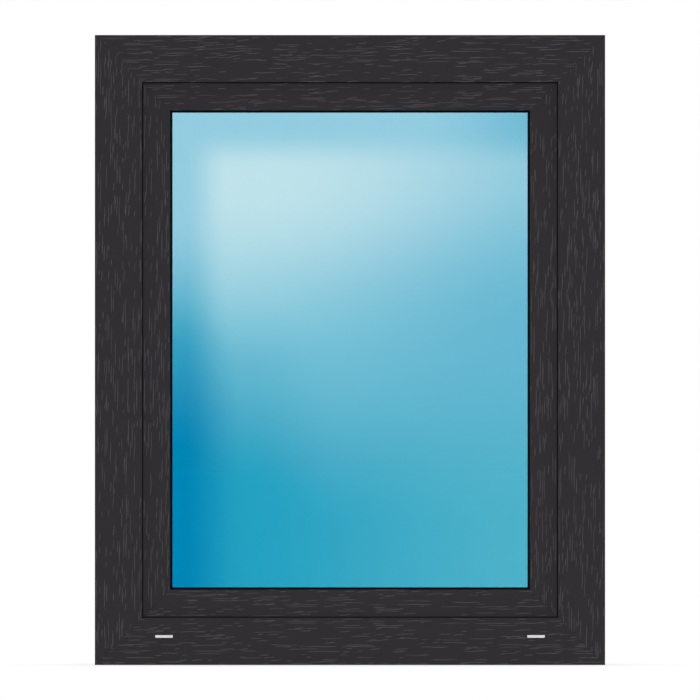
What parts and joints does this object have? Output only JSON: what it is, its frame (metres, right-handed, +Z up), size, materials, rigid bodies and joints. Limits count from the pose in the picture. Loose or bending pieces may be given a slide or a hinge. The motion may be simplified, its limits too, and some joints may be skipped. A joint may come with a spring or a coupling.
{
  "type": "tilt and turn window",
  "caption": "Upright window with a mitred dark wood-grain frame, an inward-opening sash, blue tinted triple glass, drain caps on the bottom rail and a lever handle inside.",
  "frame": {"origin": "middle of the flat underside of the bottom rail, half-way through the frame's depth", "axes": "+Z up, -Y towards the outside, +Y into the room, +X to the right seen from outside"},
  "size_m": [0.81, 0.1637, 1],
  "materials": {
    "foil_frame": "dark wood-grain foil, satin",
    "foil_sash": "dark wood-grain foil, satin",
    "foil_bead": "dark wood-grain foil, satin",
    "glazing_gasket": "black matt rubber",
    "weather_seal": "black matt rubber",
    "outer_glass": "blue tinted, clear",
    "middle_glass": "clear",
    "inner_glass": "clear",
    "spacer": "black matt",
    "setting_block": "matt",
    "drain_cap": "pale grey satin",
    "handle": "satin anodised",
    "hinge": "satin grey"
  },
  "bodies": {
    "root": {"frame_head": "foil_frame", "frame_bottom_rail": "foil_frame", "frame_left_jamb": "foil_frame", "frame_right_jamb": "foil_frame", "sash_top_rail": "foil_sash", "sash_bottom_rail": "foil_sash", "sash_left_stile": "foil_sash", "sash_right_stile": "foil_sash", "bead_top": "foil_bead", "bead_bottom": "foil_bead", "bead_left": "foil_bead", "bead_right": "foil_bead", "outer_glazing_gasket": "glazing_gasket", "inner_glazing_gasket": "glazing_gasket", "frame_seal": "weather_seal", "sash_overlap_seal": "weather_seal", "outer_pane": "outer_glass", "middle_pane": "middle_glass", "inner_pane": "inner_glass", "outer_spacer": "spacer", "inner_spacer": "spacer", "setting_block_left": "setting_block", "setting_block_right": "setting_block", "drain_cap_left": "drain_cap", "drain_cap_right": "drain_cap", "handle_rosette": "handle", "handle_lever": "handle", "upper_hinge_bearing": "hinge", "upper_hinge_leaf": "hinge", "lower_hinge_bearing": "hinge", "lower_hinge_leaf": "hinge"}
  },
  "joints": []
}
